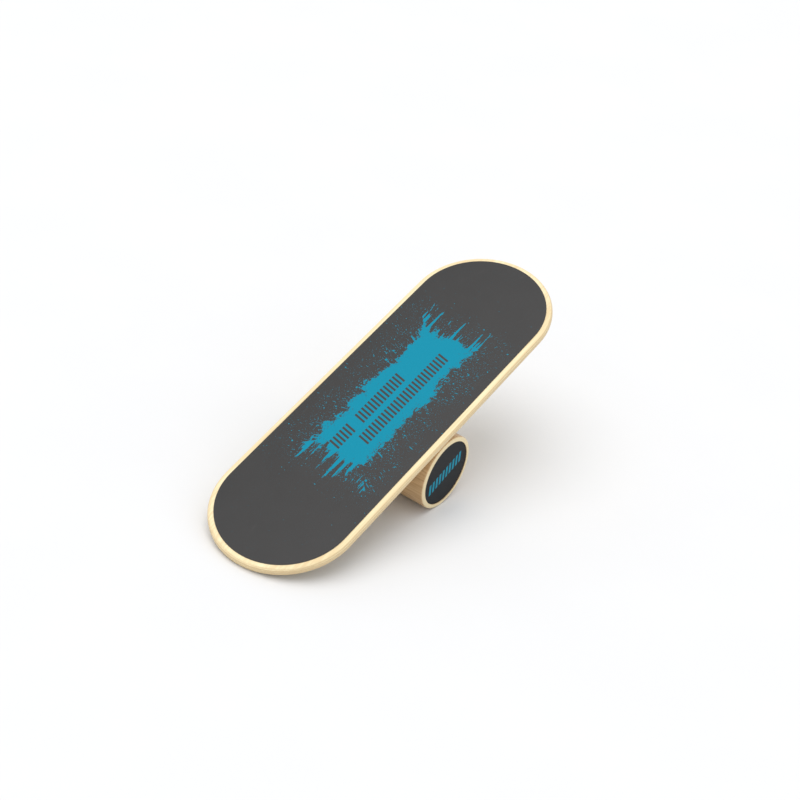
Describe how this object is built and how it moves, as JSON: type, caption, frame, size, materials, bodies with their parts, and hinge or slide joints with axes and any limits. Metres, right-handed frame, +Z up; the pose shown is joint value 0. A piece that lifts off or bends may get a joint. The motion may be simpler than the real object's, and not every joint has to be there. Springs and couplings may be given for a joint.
{
  "type": "balance board",
  "caption": "Wooden balance board: a flat deck with half-round ends and a glued grip sheet, lying tilted over a loose cylindrical roller that rolls along under it.",
  "frame": {"origin": "on the floor, under the middle of the object's bounding box", "axes": "+X towards the raised end of the deck, +Y across the deck along the roller's axis, +Z up"},
  "size_m": [0.6956, 0.242, 0.2677],
  "materials": {
    "deck_plywood": "pale birch plywood, clear varnish",
    "grip": "dark grey matt grip sheet with a printed cyan splash",
    "stop_wood": "clear varnish",
    "screw_steel": "zinc plated",
    "roller_wood": "turned wood, clear varnish",
    "plug_wood": "raw",
    "end_print": "near-black printed disc with a cyan mark"
  },
  "bodies": {
    "board": {"deck": "deck_plywood", "grip_sheet": "grip", "stop_bar_low": "stop_wood", "stop_bar_high": "stop_wood", "stop_screw_low_1": "screw_steel", "stop_screw_low_2": "screw_steel", "stop_screw_low_3": "screw_steel", "stop_screw_high_1": "screw_steel", "stop_screw_high_2": "screw_steel", "stop_screw_high_3": "screw_steel"},
    "roller_carriage": {"roller_rib": "plug_wood"},
    "roller": {"roller_tube": "roller_wood", "roller_plug_near": "plug_wood", "roller_plug_far": "plug_wood", "roller_print_near": "end_print", "roller_print_far": "end_print"}
  },
  "joints": [
    {"name": "roller_travel", "type": "slide", "parent": "board", "child": "roller_carriage", "axis": [0.9377, 0, 0.3474], "range_m": [-0.165, 0.191]},
    {"name": "roller_spin", "type": "hinge", "parent": "roller_carriage", "child": "roller", "pos_m": [0.01239, 0, 0.063], "axis": [0, 1, 0], "range_deg": [-174, 151]}
  ],
  "couplings": [
    {"joint": "roller_spin", "follows": "roller_travel", "rad_per_m": -15.873}
  ]
}
